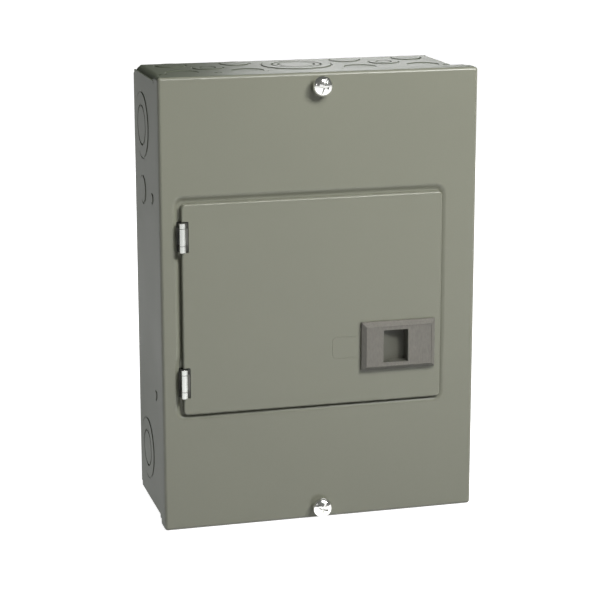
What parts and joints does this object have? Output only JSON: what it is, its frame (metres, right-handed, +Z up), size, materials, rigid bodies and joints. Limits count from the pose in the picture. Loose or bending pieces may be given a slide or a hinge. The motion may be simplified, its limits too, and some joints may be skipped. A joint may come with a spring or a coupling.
{
  "type": "residential load center",
  "caption": "Surface-mounted breaker panel: steel enclosure, front cover with a hinged latched door, and plug-on breakers on a bus with wire lugs behind a dead front.",
  "frame": {"origin": "centre of the enclosure's back face, where it meets the wall", "axes": "+X to the right of someone facing the panel, front faces -Y, +Z up"},
  "size_m": [0.228, 0.105, 0.321],
  "materials": {
    "grey_enamel": "baked grey enamel",
    "zinc_plate": "bright zinc plating",
    "latch_plastic": "moulded, fine texture",
    "spring_steel": "drawn wire",
    "galvanised_steel": "galvanised",
    "base_plastic": "moulded thermoset",
    "standoff_plastic": "moulded",
    "aluminium": "tin-plated, satin",
    "brass_strap": "rolled",
    "green_bonding": "dyed plating",
    "breaker_plastic": "moulded thermoset"
  },
  "bodies": {
    "enclosure": {"enclosure_body": "grey_enamel", "top_end_wall": "grey_enamel", "bottom_end_wall": "grey_enamel", "cover": "grey_enamel", "dead_front": "grey_enamel", "cover_screw_upper": "zinc_plate", "cover_screw_lower": "zinc_plate", "hinge_cover_leaf_upper": "zinc_plate", "hinge_cover_leaf_lower": "zinc_plate", "hinge_pin_upper": "zinc_plate", "hinge_pin_lower": "zinc_plate", "interior_pan": "galvanised_steel", "insulating_base": "base_plastic", "bus_bar_a": "aluminium", "bus_bar_b": "aluminium", "breaker_rail_left": "galvanised_steel", "breaker_rail_right": "galvanised_steel", "interior_screw_1": "zinc_plate", "interior_screw_2": "zinc_plate", "interior_screw_3": "zinc_plate", "interior_screw_4": "zinc_plate", "line_lug_a": "aluminium", "line_lug_a_screw": "zinc_plate", "line_lug_b": "aluminium", "line_lug_b_screw": "zinc_plate", "neutral_bar": "aluminium", "neutral_lug": "aluminium", "neutral_lug_screw": "zinc_plate", "neutral_standoff_upper": "standoff_plastic", "neutral_standoff_lower": "standoff_plastic", "ground_bar": "aluminium", "bonding_strap": "brass_strap", "bonding_screw": "green_bonding", "breaker_1": "breaker_plastic", "breaker_2": "breaker_plastic", "breaker_3": "breaker_plastic", "breaker_4": "breaker_plastic", "breaker_5": "breaker_plastic", "breaker_6": "breaker_plastic", "terminal_screw_1": "zinc_plate", "terminal_screw_2": "zinc_plate", "terminal_screw_3": "zinc_plate", "terminal_screw_4": "zinc_plate", "terminal_screw_5": "zinc_plate", "terminal_screw_6": "zinc_plate"},
    "door": {"door": "grey_enamel", "hinge_door_leaf_upper": "zinc_plate", "hinge_door_leaf_lower": "zinc_plate", "latch_bezel": "latch_plastic", "latch_spring": "spring_steel", "latch_retainer": "galvanised_steel"},
    "latch_slider": {"latch_slider": "latch_plastic"},
    "breaker_handle_1": {"breaker_handle_1": "breaker_plastic"},
    "breaker_handle_2": {"breaker_handle_2": "breaker_plastic"},
    "breaker_handle_3": {"breaker_handle_3": "breaker_plastic"},
    "breaker_handle_4": {"breaker_handle_4": "breaker_plastic"},
    "breaker_handle_5": {"breaker_handle_5": "breaker_plastic"},
    "breaker_handle_6": {"breaker_handle_6": "breaker_plastic"}
  },
  "joints": [
    {"name": "door_hinge", "type": "hinge", "parent": "enclosure", "child": "door", "pos_m": [-0.0991, -0.0994, 0], "axis": [0, 0, -1], "range_deg": [0, 180]},
    {"name": "latch_slide", "type": "slide", "parent": "door", "child": "latch_slider", "axis": [-1, 0, 0], "range_m": [0, 0.0055], "stiffness_N_per_m": 300, "springref_m": -0.004, "deforming": ["latch_spring"]},
    {"name": "breaker_handle_1_throw", "type": "hinge", "parent": "enclosure", "child": "breaker_handle_1", "pos_m": [-0.035, -0.0755, 0.0254], "axis": [0, 0, -1], "range_deg": [0, 40]},
    {"name": "breaker_handle_2_throw", "type": "hinge", "parent": "enclosure", "child": "breaker_handle_2", "pos_m": [0.035, -0.0755, 0.0254], "axis": [0, 0, 1], "range_deg": [0, 40]},
    {"name": "breaker_handle_3_throw", "type": "hinge", "parent": "enclosure", "child": "breaker_handle_3", "pos_m": [-0.035, -0.0755, 0], "axis": [0, 0, -1], "range_deg": [0, 40]},
    {"name": "breaker_handle_4_throw", "type": "hinge", "parent": "enclosure", "child": "breaker_handle_4", "pos_m": [0.035, -0.0755, 0], "axis": [0, 0, 1], "range_deg": [0, 40]},
    {"name": "breaker_handle_5_throw", "type": "hinge", "parent": "enclosure", "child": "breaker_handle_5", "pos_m": [-0.035, -0.0755, -0.0254], "axis": [0, 0, -1], "range_deg": [0, 40]},
    {"name": "breaker_handle_6_throw", "type": "hinge", "parent": "enclosure", "child": "breaker_handle_6", "pos_m": [0.035, -0.0755, -0.0254], "axis": [0, 0, 1], "range_deg": [0, 40]}
  ]
}
